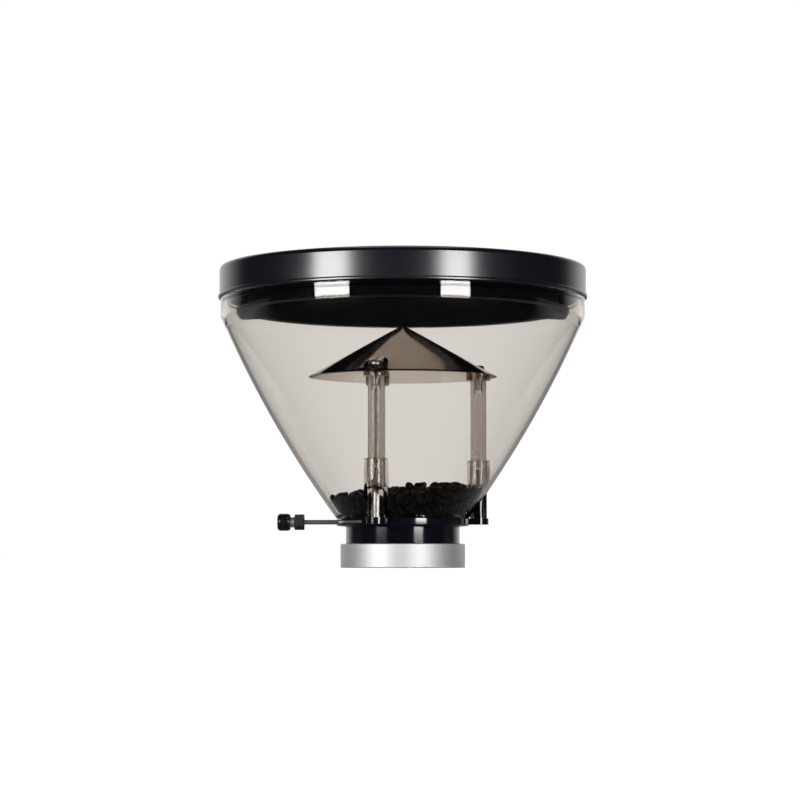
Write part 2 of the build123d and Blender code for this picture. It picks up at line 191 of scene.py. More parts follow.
class HopperSizes(bpy.types.PropertyGroup):
    """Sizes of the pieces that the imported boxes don't give."""

    seat_radius: FloatProperty(
        name="Seat Radius",
        description="Outer radius of the cone where it sits on the gate housing",
        default=0.0432,
        unit="LENGTH",
    )
    cone_height: FloatProperty(
        name="Cone Height", description="Height of the cone below the straight rim band",
        default=0.131, unit="LENGTH",
    )
    cone_bulge: FloatProperty(
        name="Cone Bulge",
        description="How far the cone's outline bows outwards from a straight line",
        default=0.0039,
        unit="LENGTH",
    )
    shell_wall: FloatProperty(
        name="Shell Wall", description="Wall of the smoked shell", default=0.0025, unit="LENGTH"
    )
    rim_height: FloatProperty(
        name="Rim Height", description="Height of the straight rim band",
        default=0.0126, unit="LENGTH",
    )
    rim_step: FloatProperty(
        name="Rim Step", description="Width of the ledge that the lid rests on",
        default=0.002, unit="LENGTH",
    )
    rim_lip_wall: FloatProperty(
        name="Rim Lip Wall", description="Wall of the lip inside the lid",
        default=0.0022, unit="LENGTH",
    )
    lid_wall: FloatProperty(
        name="Lid Wall", description="Side wall of the lid", default=0.0024, unit="LENGTH"
    )
    lid_top: FloatProperty(
        name="Lid Top", description="Thickness of the lid's top", default=0.003, unit="LENGTH"
    )
    lid_edge: FloatProperty(
        name="Lid Edge", description="Rounding of the lid's upper edge",
        default=0.003, unit="LENGTH",
    )
    lid_border: FloatProperty(
        name="Lid Border", description="Width of the raised border on the lid",
        default=0.009, unit="LENGTH",
    )
    lid_dish: FloatProperty(
        name="Lid Dish", description="Depth of the lid's top inside its border",
        default=0.001, unit="LENGTH",
    )
    bead_proud: FloatProperty(
        name="Bead", description="How far the lid's lower bead stands out",
        default=0.00085, unit="LENGTH",
    )
    bead_height: FloatProperty(
        name="Bead Height", description="Height of the lid's lower bead",
        default=0.0022, unit="LENGTH",
    )
    skirt_radius: FloatProperty(
        name="Skirt Radius", description="Outer radius of the lid's hanging skirt",
        default=0.102, unit="LENGTH",
    )
    skirt_wall: FloatProperty(
        name="Skirt Wall", description="Wall of the lid's hanging skirt",
        default=0.0025, unit="LENGTH",
    )
    skirt_flange: FloatProperty(
        name="Skirt Flange", description="Width of the flange under the skirt",
        default=0.007, unit="LENGTH",
    )
    skirt_flange_wall: FloatProperty(
        name="Skirt Flange Wall", description="Thickness of the flange",
        default=0.002, unit="LENGTH",
    )
    post_clearance: FloatProperty(
        name="Post Clearance", description="Gap round a post in its sockets",
        default=0.0001, unit="LENGTH",
    )
    socket_wall: FloatProperty(
        name="Socket Wall", description="Wall of the shell's post sockets",
        default=0.0022, unit="LENGTH",
    )
    socket_depth: FloatProperty(
        name="Socket Depth", description="How deep a post stands in the shell",
        default=0.018, unit="LENGTH",
    )
    boss_radius: FloatProperty(
        name="Boss Radius", description="Radius of the bosses below the shell",
        default=0.0055, unit="LENGTH",
    )
    roof_wall: FloatProperty(
        name="Roof Wall", description="Wall of the roof", default=0.002, unit="LENGTH"
    )
    roof_rise: FloatProperty(
        name="Roof Rise", description="Height of the roof's cone", default=0.0343, unit="LENGTH"
    )
    roof_socket_wall: FloatProperty(
        name="Roof Socket Wall", description="Wall of the roof's post sockets",
        default=0.0027, unit="LENGTH",
    )
    roof_seat: FloatProperty(
        name="Roof Seat", description="Plastic between a post's end and its screw head",
        default=0.0016, unit="LENGTH",
    )
    screw_hole: FloatProperty(
        name="Screw Hole", description="Radius of the holes for the screws",
        default=0.0022, unit="LENGTH",
    )
    screw_depth: FloatProperty(
        name="Screw Depth", description="Depth of the drilled ends of a post",
        default=0.014, unit="LENGTH",
    )
    head_hole: FloatProperty(
        name="Head Hole", description="Radius of the pockets for the screw heads",
        default=0.0045, unit="LENGTH",
    )
    throat_radius: FloatProperty(
        name="Throat Radius", description="Radius of the outlet in the gate housing",
        default=0.0325, unit="LENGTH",
    )
    neck_radius: FloatProperty(
        name="Neck Radius", description="Outer radius of the black neck",
        default=0.0372, unit="LENGTH",
    )
    neck_height: FloatProperty(
        name="Neck Height", description="Height of the neck above the collar",
        default=0.011, unit="LENGTH",
    )
    flange_thickness: FloatProperty(
        name="Flange Thickness", description="Thickness of the housing's flange",
        default=0.0048, unit="LENGTH",
    )
    ear_radius: FloatProperty(
        name="Ear Radius", description="Radius of the housing's screw ears",
        default=0.0065, unit="LENGTH",
    )
    ear_thickness: FloatProperty(
        name="Ear Thickness", description="Thickness of the housing's screw ears",
        default=0.004, unit="LENGTH",
    )
    slot_gap: FloatProperty(
        name="Slot Gap", description="Gap round the gate plate in its slot",
        default=0.0001, unit="LENGTH",
    )
    bean_length: FloatProperty(
        name="Bean Length", description="Mean length of a roasted bean",
        default=0.0098, unit="LENGTH",
    )
    bean_count: IntProperty(
        name="Beans", description="Number of beans on the gate", default=640, min=1
    )


class HopperFinish(bpy.types.PropertyGroup):
    """Colours and densities of the finishes."""

    smoke: FloatVectorProperty(
        name="Smoke", description="Tint of the smoked plastic",
        default=(0.50, 0.38, 0.25), subtype="COLOR",
    )
    post_smoke: FloatVectorProperty(
        name="Post Smoke", description="Tint of the posts, which is greyer",
        default=(0.49, 0.42, 0.36), subtype="COLOR",
    )
    # Colour that darkens the right boss alone, so that it looks darker than the other two; the
    # cause of that darker look is not known.
    right_boss_darkening: FloatVectorProperty(
        name="Right Boss Darkening", description="Tint of the right boss below the shell, which is darker",
        default=(0.05, 0.047, 0.044), subtype="COLOR",
    )
    smoke_density: FloatProperty(
        name="Smoke Density", description="How strongly the shell absorbs light, per metre",
        default=90.0,
    )
    post_density: FloatProperty(
        name="Post Density", description="How strongly the posts absorb light, per metre",
        default=165.0,
    )
    roof_density: FloatProperty(
        name="Roof Density", description="How strongly the roof absorbs light, per metre",
        default=330.0,
    )
    black: FloatVectorProperty(
        name="Black", description="Black of the moulded parts",
        default=(0.0018, 0.0022, 0.0046), subtype="COLOR",
    )
    collar: FloatVectorProperty(
        name="Collar", description="Metal of the polished collar",
        default=(0.92, 0.93, 0.94), subtype="COLOR",
    )
    steel: FloatVectorProperty(
        name="Steel", description="Metal of the gate and the screws",
        default=(0.52, 0.52, 0.53), subtype="COLOR",
    )
    dark_steel: FloatVectorProperty(
        name="Dark Steel", description="Blackened metal of the lock nut",
        default=(0.085, 0.09, 0.11), subtype="COLOR",
    )
    light_roast: FloatVectorProperty(
        name="Light Roast", description="Palest bean",
        default=(0.018, 0.0102, 0.007), subtype="COLOR",
    )
    dark_roast: FloatVectorProperty(
        name="Dark Roast", description="Darkest bean",
        default=(0.004, 0.0027, 0.0021), subtype="COLOR",
    )


def span(node):
    """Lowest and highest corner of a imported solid."""
    low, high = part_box(node)
    return Vector(low), Vector(high)


def post_spots():
    """Axis points of the three posts, at height 0."""
    spots = []
    for node in POST_NODES:
        low, high = span(node)
        spots.append(Vector(((low.x + high.x) / 2, (low.y + high.y) / 2, 0.0)))
    return spots


def post_size():
    """Radius, lower end and upper end of a post."""
    low, high = span(POST_NODES[0])
    return (high.x - low.x) / 2, low.z, high.z


def settings(context):
    """Sizes and finishes that the scene holds."""
    return context.scene.bean_hopper_sizes, context.scene.bean_hopper_finish


def bow_circle(start, end, bulge):
    """Centre and radius of the arc from start to end that bows by bulge to the right of its way."""
    chord = Vector(end) - Vector(start)
    right = Vector((chord.y, -chord.x)).normalized()
    radius = chord.length_squared / (8 * bulge) + bulge / 2
    centre = (Vector(start) + Vector(end)) / 2 - right * (radius - bulge)
    return centre, radius


def bow_edge(bm, start, end, bulge):
    """Joins two profile vertices by an arc."""
    a, b = start.co.xz, end.co.xz
    centre, _ = bow_circle(a, b, bulge)
    turn = math.atan2(a.y - centre.y, a.x - centre.x) - math.atan2(b.y - centre.y, b.x - centre.x)
    made = bmesh.ops.spin(
        bm,
        geom=[start],
        cent=(centre.x, 0, centre.y),
        axis=(0, 1, 0),
        angle=turn,
        steps=BOW_STEPS,
    )
    last = [item for item in made["geom_last"] if isinstance(item, bmesh.types.BMVert)]
    bmesh.ops.weld_verts(bm, targetmap={last[0]: end})


def profile(corners, closed, bows):
    """A wire in the XZ plane.

    A corner is radius, height and, unless it is sharp, rounding. bows maps an edge to its bulge.
    """
    bm = bmesh.new()
    verts = [bm.verts.new((corner[0], 0, corner[1])) for corner in corners]
    links = list(zip(verts, verts[1:] + verts[:1]))
    if not closed:
        links.pop()
    for index, (a, b) in enumerate(links):
        if index in bows:
            bow_edge(bm, a, b, bows[index])
        else:
            bm.edges.new((a, b))
    roundings = [corner[2] if len(corner) == 3 else 0.0 for corner in corners]
    for rounding in sorted(set(roundings) - {0.0}):
        bmesh.ops.bevel(
            bm,
            geom=[vert for vert, own in zip(verts, roundings) if own == rounding],
            offset=rounding,
            offset_type="OFFSET",
            segments=4,
            profile=0.5,
            affect="VERTICES",
            material=-1,
        )
    return bm


def lathe(corners, steps=ROUND_STEPS, closed=False, bows=()):
    """Turns a profile round the Z axis into a solid. An open one starts and ends on the axis."""
    bm = profile(corners, closed, bows)
    bmesh.ops.spin(
        bm,
        geom=bm.verts[:] + bm.edges[:],
        cent=(0, 0, 0),
        axis=(0, 0, 1),
        angle=math.tau,
        steps=steps,
        use_merge=True,
    )
    bmesh.ops.remove_doubles(bm, verts=bm.verts, dist=TURN_WELD)
    bmesh.ops.recalc_face_normals(bm, faces=bm.faces)
    return bm


def rod(radius, low, high, rounding=0.0):
    """A solid round rod on the Z axis, with its upper edge rounded."""
    return lathe([(0, low), (radius, low), (radius, high, rounding), (0, high)], SMALL_STEPS)


def draw_out(bm, length):
    """Draws the -X half of a rod out along -X."""
    half = [vert for vert in bm.verts if vert.co.x < -AXIS_BAND]
    bmesh.ops.translate(bm, vec=(-length, 0, 0), verts=half)


def lay_down(bm, start, height):
    """Turns a solid from the Z axis to -X, from a start on X and at a height."""
    lay = Matrix.Translation((start, 0, height)) @ Matrix.Rotation(-math.pi / 2, 4, "Y")
    bmesh.ops.transform(bm, matrix=lay, verts=bm.verts)


def as_object(bm, name):
    """Puts a bmesh into a new object."""
    mesh = bpy.data.meshes.new(name)
    bm.to_mesh(mesh)
    bm.free()
    piece = bpy.data.objects.new(name, mesh)
    bpy.context.scene.collection.objects.link(piece)
    return piece


def repeat(bm, spots):
    """Copies a small solid to each spot, in one mesh."""
    mesh = bpy.data.meshes.new("repeat")
    bm.to_mesh(mesh)
    bm.free()
    joined = bmesh.new()
    for spot in spots:
        first = len(joined.verts)
        joined.from_mesh(mesh)
        joined.verts.ensure_lookup_table()
        bmesh.ops.translate(joined, vec=spot, verts=joined.verts[first:])
    bpy.data.meshes.remove(mesh)
    return joined


def combine(bm, tool, operation):
    """Joins, cuts or trims one closed solid by another, and gives the result."""
    base, other = as_object(bm, "base"), as_object(tool, "tool")
    boolean = base.modifiers.new("combine", "BOOLEAN")
    boolean.operation = operation
    boolean.solver = "EXACT"
    boolean.object = other
    result = bmesh.new()
    result.from_object(base, bpy.context.evaluated_depsgraph_get())
    if not result.faces:
        raise RuntimeError(f"the {operation} of two solids left nothing")
    bmesh.ops.triangulate(result, faces=[face for face in result.faces if len(face.verts) > 4])
    for item in (base, other):
        mesh = item.data
        bpy.data.objects.remove(item)
        bpy.data.meshes.remove(mesh)
    return result


def place_piece(bm, name, body, nodes, finishes, crease=35.0):
    """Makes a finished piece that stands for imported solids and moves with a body."""
    bmesh.ops.remove_doubles(bm, verts=bm.verts, dist=PIECE_WELD)
    piece = as_object(bm, name)
    piece.data.shade_smooth()
    piece.data.set_sharp_from_angle(angle=math.radians(crease))
    for finish in finishes:
        piece.data.materials.append(finish)
    normals = piece.modifiers.new("even_normals", "WEIGHTED_NORMAL")
    normals.mode = "FACE_AREA"
    normals.weight = 100
    normals.keep_sharp = True
    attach(piece, body)
    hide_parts(*nodes)


def dress_node(node, finish):
    """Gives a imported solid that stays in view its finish."""
    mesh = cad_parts[node].data
    mesh.materials.clear()
    mesh.materials.append(finish)


def set_node(node, **values):
    """Sets a node's properties and unlinked inputs. In a name, _ stands for a space."""
    for key, value in values.items():
        if hasattr(node, key):
            setattr(node, key, value)
        else:
            node.inputs[key.replace("_", " ")].default_value = value


def add_node(tree, kind, **values):
    """Adds a shader node and sets its values."""
    node = tree.nodes.new(kind)
    set_node(node, **values)
    return node


def add_math(tree, operation, second=None):
    """Adds a Math node, with its second input set where one is given."""
    node = add_node(tree, "ShaderNodeMath", operation=operation)
    if second is not None:
        node.inputs[1].default_value = second
    return node


def wire(tree, *links):
    """Links nodes. A link is a node, its output, the next node and its input."""
    for source, output, target, entry in links:
        tree.links.new(source.outputs[output], target.inputs[entry])


def toned(colour, factor=1.0):
    """A colour made darker or lighter, as a socket takes it."""
    return (*[min(1.0, factor * part) for part in colour], 1.0)


def new_group(name, inputs, outputs):
    """Starts a shader node group and returns it with its input and output nodes."""
    group = bpy.data.node_groups.new(name, "ShaderNodeTree")
    for way, sockets in (("INPUT", inputs), ("OUTPUT", outputs)):
        for label, kind in sockets.items():
            group.interface.new_socket(name=label, in_out=way, socket_type=f"NodeSocket{kind}")
    return group, group.nodes.new("NodeGroupInput"), group.nodes.new("NodeGroupOutput")


def scuff_group():
    """Soft smudges and fine hairlines that change roughness and height."""
    name = "fine_scuffs"
    if name in bpy.data.node_groups:
        return bpy.data.node_groups[name]
    group, given, out = new_group(
        name,
        {"Vector": "Vector", "Smudge Scale": "Float", "Low": "Float", "High": "Float"},
        {"Roughness": "Float", "Height": "Float"},
    )
    smudge = add_node(group, "ShaderNodeTexNoise", Detail=3.0, Roughness=0.6)
    both = add_math(group, "MAXIMUM")
    for entry, turn in enumerate(HAIRLINE_TURNS):
        turned = add_node(
            group,
            "ShaderNodeMapping",
            Rotation=[turn * part for part in HAIRLINE_TWIST],
            Scale=HAIRLINE_STRETCH,
        )
        hair = add_node(group, "ShaderNodeTexNoise", Scale=90.0, Detail=2.0)
        thin = add_node(group, "ShaderNodeMapRange", From_Min=0.62, From_Max=0.72)
        wire(
            group,
            (given, "Vector", turned, "Vector"),
            (turned, "Vector", hair, "Vector"),
            (hair, "Fac", thin, "Value"),
            (thin, "Result", both, entry),
        )
    faint = add_math(group, "MULTIPLY_ADD", HAIRLINE_SHARE)
    spread = add_node(group, "ShaderNodeMapRange", From_Min=0.3, From_Max=0.95)
    wire(
        group,
        (given, "Vector", smudge, "Vector"),
        (given, "Smudge Scale", smudge, "Scale"),
        (both, "Value", faint, 0),
        (smudge, "Fac", faint, 2),
        (faint, "Value", spread, "Value"),
        (given, "Low", spread, "To Min"),
        (given, "High", spread, "To Max"),
        (spread, "Result", out, "Roughness"),
        (both, "Value", out, "Height"),
    )
    return group


def brush_group():
    """Fine parallel lines for turned and brushed metal."""
    name = "brushed_lines"
    if name in bpy.data.node_groups:
        return bpy.data.node_groups[name]
    group, given, out = new_group(
        name,
        {"Vector": "Vector", "Low": "Float", "High": "Float", "Dark": "Color", "Bright": "Color"},
        {"Color": "Color", "Roughness": "Float", "Height": "Float"},
    )
    lines = add_node(group, "ShaderNodeTexNoise", Scale=1.0, Detail=4.0, Roughness=0.7)
    spread = add_node(group, "ShaderNodeMapRange", From_Min=0.3, From_Max=0.7)
    tone = add_node(group, "ShaderNodeMix", data_type="RGBA")
    wire(
        group,
        (given, "Vector", lines, "Vector"),
        (lines, "Fac", spread, "Value"),
        (given, "Low", spread, "To Min"),
        (given, "High", spread, "To Max"),
        (lines, "Fac", tone, "Factor"),
        (given, "Dark", tone, "A"),
        (given, "Bright", tone, "B"),
        (tone, "Result", out, "Color"),
        (spread, "Result", out, "Roughness"),
        (lines, "Fac", out, "Height"),
    )
    return group


def new_finish(name):
    """A material with its tree, its shader and its texture coordinates."""
    finish = bpy.data.materials.new(name)
    finish.use_nodes = True
    tree = finish.node_tree
    return finish, tree, tree.nodes["Principled BSDF"], add_node(tree, "ShaderNodeTexCoord")


def add_bump(tree, shader, source, output, strength, distance):
    """Lets a node's output change the shader's normal as a height."""
    bump = add_node(tree, "ShaderNodeBump", Strength=strength, Distance=distance)
    wire(tree, (source, output, bump, "Height"), (bump, "Normal", shader, "Normal"))


def add_scuffs(tree, shader, place, scale, low, high, strength):
    """Adds the shared scuffs to a shader, with a roughness from low to high."""
    scuffs = add_node(
        tree, "ShaderNodeGroup", node_tree=scuff_group(), Smudge_Scale=scale, Low=low, High=high
    )
    wire(
        tree,
        (place, "Object", scuffs, "Vector"),
        (scuffs, "Roughness", shader, "Roughness"),
    )
    add_bump(tree, shader, scuffs, "Height", strength, SCRATCH_DEPTH)


def smoked_plastic(name, tint, density, low=0.0, high=0.06):
    """Clear smoked plastic that darkens with its thickness."""
    finish, tree, shader, place = new_finish(name)
    set_node(shader, Base_Color=WHITE, Transmission_Weight=1.0, IOR=1.5)
    add_scuffs(tree, shader, place, scale=35.0, low=low, high=high, strength=0.02)
    smoke = add_node(tree, "ShaderNodeVolumeAbsorption", Color=toned(tint), Density=density)
    wire(tree, (smoke, "Volume", tree.nodes["Material Output"], "Volume"))
    return finish


def shade_bosses(finish, style):
    """Darkens the faces that carry the marking attribute, which only the right boss carries; the
    darkening has no known cause.
    """
    tree = finish.node_tree
    shade = add_node(tree, "ShaderNodeAttribute", attribute_name="right_boss_mark")
    tone = add_node(tree, "ShaderNodeMix", data_type="RGBA", A=WHITE, B=toned(style.right_boss_darkening))
    wire(
        tree,
        (shade, "Fac", tone, "Factor"),
        (tone, "Result", tree.nodes["Principled BSDF"], "Base Color"),
    )


def black_plastic(style, name, low, high, gloss=0.5, satin=0.0):
    """Black moulded plastic with a faint mottle and scuffs. Satin draws its gloss out sideways."""
    finish, tree, shader, place = new_finish(name)
    mottle = add_node(tree, "ShaderNodeTexNoise", Scale=60.0, Detail=4.0)
    dark, pale = (toned(style.black, factor) for factor in MOTTLE_TONES)
    tone = add_node(tree, "ShaderNodeMix", data_type="RGBA", A=dark, B=pale)
    wire(
        tree,
        (place, "Object", mottle, "Vector"),
        (mottle, "Fac", tone, "Factor"),
        (tone, "Result", shader, "Base Color"),
    )
    set_node(shader, IOR=1.65, Specular_IOR_Level=gloss, Anisotropic=satin)
    add_scuffs(tree, shader, place, scale=25.0, low=low, high=high, strength=0.04)
    return finish


def brushed_metal(name, colour, stretch, low, high, strength):
    """Metal with fine lines. Stretch is large across the lines and small along them."""
    finish, tree, shader, place = new_finish(name)
    set_node(shader, Metallic=1.0)
    drawn = add_node(tree, "ShaderNodeMapping", Scale=stretch)
    dark, bright = (toned(colour, factor) for factor in LINE_TONES)
    lines = add_node(tree, "ShaderNodeGroup", node_tree=brush_group())
    set_node(lines, Low=low, High=high, Dark=dark, Bright=bright)
    wire(
        tree,
        (place, "Object", drawn, "Vector"),
        (drawn, "Vector", lines, "Vector"),
        (lines, "Color", shader, "Base Color"),
        (lines, "Roughness", shader, "Roughness"),
    )
    add_bump(tree, shader, lines, "Height", strength, SCRATCH_DEPTH)
    return finish


def roasted_skin(style):
    """Oily skin of roasted beans, each bean in its own roast."""
    finish, tree, shader, place = new_finish("roasted_skin")
    roast = add_node(tree, "ShaderNodeAttribute", attribute_name="roast")
    spots = add_node(tree, "ShaderNodeTexNoise", Scale=700.0, Detail=3.0)
    mixed = add_math(tree, "MULTIPLY_ADD", SPOT_SHARE)
    dark, light = toned(style.dark_roast), toned(style.light_roast)
    tone = add_node(tree, "ShaderNodeMix", data_type="RGBA", A=dark, B=light)
    gloss = add_node(tree, "ShaderNodeMapRange", To_Min=0.34, To_Max=0.6)
    set_node(shader, Specular_IOR_Level=0.3)
    wire(
        tree,
        (place, "Object", spots, "Vector"),
        (spots, "Fac", mixed, 0),
        (roast, "Fac", mixed, 2),
        (mixed, "Value", tone, "Factor"),
        (tone, "Result", shader, "Base Color"),
        (spots, "Fac", gloss, "Value"),
        (gloss, "Result", shader, "Roughness"),
    )
    add_bump(tree, shader, spots, "Fac", strength=0.25, distance=0.0002)
    return finish


def cone_radius(sizes, height, inset):
    """Radius of the shell's bowed cone at a height, moved inwards by inset."""
    low, high = span("hopper_shell")
    centre, radius = bow_circle(
        (sizes.seat_radius, low.z), (high.x, low.z + sizes.cone_height), sizes.cone_bulge
    )
    return centre.x + math.sqrt((radius - inset) ** 2 - (height - centre.y) ** 2)


class BEANHOPPER_OT_shell(bpy.types.Operator):
    """Build the smoked shell with its rim, post sockets and bosses"""

    bl_idname = "bean_hopper.shell"
    bl_label = "Smoked Shell"

    def execute(self, context):
        sizes, style = settings(context)
        low, high = span("hopper_shell")
        rim_r, wall = high.x, sizes.shell_wall
        cone_top = low.z + sizes.cone_height
        step_z = cone_top + sizes.rim_height
        lip_r = rim_r - sizes.rim_step
        bore_r = lip_r - sizes.rim_lip_wall
        ring_z, ring_r = low.z + SEAT_RING_HEIGHT, sizes.seat_radius - SEAT_RING_WIDTH
        inner_top = cone_top - INNER_DROP * wall
        inner_r = cone_radius(sizes, inner_top, wall)
        shoulder_z = step_z - sizes.rim_step
        corners = [
            (sizes.seat_radius, low.z, FINE_EDGE),
            (rim_r, cone_top),
            (rim_r, step_z, EDGE),
            (lip_r, step_z, HAIR_EDGE),
            (lip_r, high.z, EDGE),
            (bore_r, high.z, EDGE),
            (bore_r, shoulder_z, FINE_EDGE),
            (inner_r, shoulder_z - (inner_r - bore_r), SOFT_EDGE),
            (inner_r, inner_top),
            (cone_radius(sizes, ring_z, wall), ring_z),
            (ring_r, ring_z, FINE_EDGE),
            (ring_r, low.z, FINE_EDGE),
        ]
        inner_bulge = -sizes.cone_bulge * ((inner_top - ring_z) / sizes.cone_height) ** 2
        # Edge 0 is the cone's outside, and edge 8 its inside.
        shell = lathe(corners, closed=True, bows={0: sizes.cone_bulge, 8: inner_bulge})

        post_r, post_foot, _ = post_size()
        hole_r = post_r + sizes.post_clearance
        socket_top = post_foot + sizes.socket_depth
        spots = post_spots()
        socket = rod(hole_r + sizes.socket_wall, ring_z - OVERLAP, socket_top, SOFT_EDGE)
        foot_z, head_z = low.z + TRIM_FOOT, socket_top + TRIM_HEAD
        foot_r, head_r = (cone_radius(sizes, z, SOCKET_COVER * wall) for z in (foot_z, head_z))
        trim = lathe([(0, foot_z), (foot_r, foot_z), (head_r, head_z), (0, head_z)])
        boss = rod(sizes.boss_radius, low.z, post_foot + OVERLAP)
        hole = lathe(
            [
                (0, low.z - OVERLAP),
                (sizes.screw_hole, low.z - OVERLAP),
                (sizes.screw_hole, post_foot),
                (hole_r, post_foot),
                (hole_r, socket_top + OVERLAP),
                (0, socket_top + OVERLAP),
            ],
            SMALL_STEPS,
        )
        sockets = combine(repeat(socket, spots), trim, "INTERSECT")
        shell = combine(shell, sockets, "UNION")
        shell = combine(shell, repeat(boss, spots), "UNION")
        shell = combine(shell, repeat(hole, spots), "DIFFERENCE")

        # Marks the right boss alone, to be darkened in its finish; why it looks darker than the
        # other bosses is not known.
        right_boss = spots[POST_NODES.index("guard_post_right")].xy
        shade = shell.faces.layers.float.new("right_boss_mark")
        for face in shell.faces:
            middle = face.calc_center_median()
            away = (middle.xy - right_boss).length
            if middle.z < post_foot + OVERLAP and away < sizes.boss_radius + SLACK:
                face[shade] = 1.0
        finish = smoked_plastic("smoked_shell", style.smoke, style.smoke_density)
        shade_bosses(finish, style)
        place_piece(shell, "smoked_shell", "hopper", ["hopper_shell"], [finish])
        return {"FINISHED"}


class BEANHOPPER_OT_lid(bpy.types.Operator):
    """Build the black lid with its bead, dished top and hanging skirt"""

    bl_idname = "bean_hopper.lid"
    bl_label = "Black Lid"

    def execute(self, context):
        sizes, style = settings(context)
        low, high = span("lid")
        shell_low, _ = span("hopper_shell")
        step_z = shell_low.z + sizes.cone_height + sizes.rim_height
        bead_r, bead_z = high.x, step_z + sizes.bead_height
        lid_r = bead_r - sizes.bead_proud
        inner_r = lid_r - sizes.lid_wall
        under = high.z - sizes.lid_top
        dish_r, dish_z = lid_r - sizes.lid_border, high.z - sizes.lid_dish
        skirt_r, skirt_in = sizes.skirt_radius, sizes.skirt_radius - sizes.skirt_wall
        flange_r, flange_z = skirt_r + sizes.skirt_flange, low.z + sizes.skirt_flange_wall
        lid = lathe(
            [
                (0, under),
                (skirt_in, under, SKIRT_EDGE),
                (skirt_in, low.z, EDGE),
                (flange_r, low.z, EDGE),
                (flange_r, flange_z, EDGE),
                (skirt_r, flange_z, BROAD_EDGE),
                (skirt_r, under, SKIRT_EDGE),
                (inner_r, under, BROAD_EDGE),
                (inner_r, step_z, HAIR_EDGE),
                (bead_r, step_z, BEAD_EDGE),
                (bead_r, bead_z, BEAD_EDGE),
                (lid_r, bead_z, HAIR_EDGE),
                (lid_r, high.z, sizes.lid_edge),
                (dish_r, high.z, BROAD_EDGE),
                (dish_r, dish_z, HAIR_EDGE),
                (0, dish_z),
            ]
        )
        finishes = [
            black_plastic(style, "lid_side", low=0.15, high=0.185, satin=0.85),
            black_plastic(style, "lid_inside", low=0.5, high=0.7, gloss=0.12),
            black_plastic(style, "lid_top", low=0.12, high=0.22),
        ]
        inside, top = 1, 2  # places in finishes
        lid.normal_update()
        for face in lid.faces:
            middle = face.calc_center_median()
            if middle.z < under + 2 * SLACK and middle.xy.length < inner_r + SLACK:
                face.material_index = inside
            elif face.normal.z > TOP_SLOPE:
                face.material_index = top
        place_piece(lid, "black_lid", "lid", ["lid"], finishes)
        return {"FINISHED"}


class BEANHOPPER_OT_guard(bpy.types.Operator):
    """Build the conical roof of the finger guard and its three posts"""

    bl_idname = "bean_hopper.guard"
    bl_label = "Finger Guard"

    def execute(self, context):
        sizes, style = settings(context)
        low, high = span("guard_roof")
        roof_r, apex, base = high.x, high.z, high.z - sizes.roof_rise
        slope = sizes.roof_rise / roof_r
        drop = sizes.roof_wall * math.hypot(1, slope)
        roof = lathe(
            [
                (0, apex - drop),
                (ROOF_TIP, apex - drop - ROOF_TIP * slope),
                (roof_r - drop / slope, base),
                (roof_r, base, SOFT_EDGE),
                (ROOF_TIP, apex - ROOF_TIP * slope),
                (0, apex),
            ]
        )
        spots = post_spots()
        post_r, bottom, top = post_size()
        hole_r = post_r + sizes.post_clearance
        sockets = repeat(rod(hole_r + sizes.roof_socket_wall, low.z, apex), spots)
        trim_r, trim_foot = roof_r + ROOF_TRIM_WIDTH, low.z - ROOF_TRIM_DEPTH
        trim_apex = apex - SOCKET_COVER * drop
        trim = lathe(
            [
                (0, trim_foot),
                (trim_r, trim_foot),
                (trim_r, trim_apex - trim_r * slope),
                (0, trim_apex),
            ]
        )
        seat_z = top + sizes.roof_seat
        hole = lathe(
            [
                (0, low.z - OVERLAP),
                (hole_r, low.z - OVERLAP),
                (hole_r, top),
                (sizes.screw_hole, top),
                (sizes.screw_hole, seat_z),
                (sizes.head_hole, seat_z),
                (sizes.head_hole, apex),
                (0, apex),
            ],
            SMALL_STEPS,
        )
        roof = combine(roof, combine(sockets, trim, "INTERSECT"), "UNION")
        roof = combine(roof, repeat(hole, spots), "DIFFERENCE")
        finish = smoked_plastic("smoked_roof", style.smoke, style.roof_density)
        place_piece(roof, "guard_roof_cone", "hopper", ["guard_roof"], [finish])

        finish = smoked_plastic(
            "smoked_posts", style.post_smoke, style.post_density, low=0.18, high=0.3
        )
        bore_r, depth = sizes.screw_hole - THREAD_BITE, sizes.screw_depth
        for node, spot in zip(POST_NODES, spots):
            post = lathe(
                [
                    (0, bottom + depth),
                    (bore_r, bottom + depth),
                    (bore_r, bottom),
                    (post_r, bottom, FINE_EDGE),
                    (post_r, top, FINE_EDGE),
                    (bore_r, top),
                    (bore_r, top - depth),
                    (0, top - depth),
                ],
                SMALL_STEPS,
            )
            bmesh.ops.translate(post, vec=spot, verts=post.verts)
            place_piece(post, f"smoked_{node}", "hopper", [node], [finish])
        return {"FINISHED"}


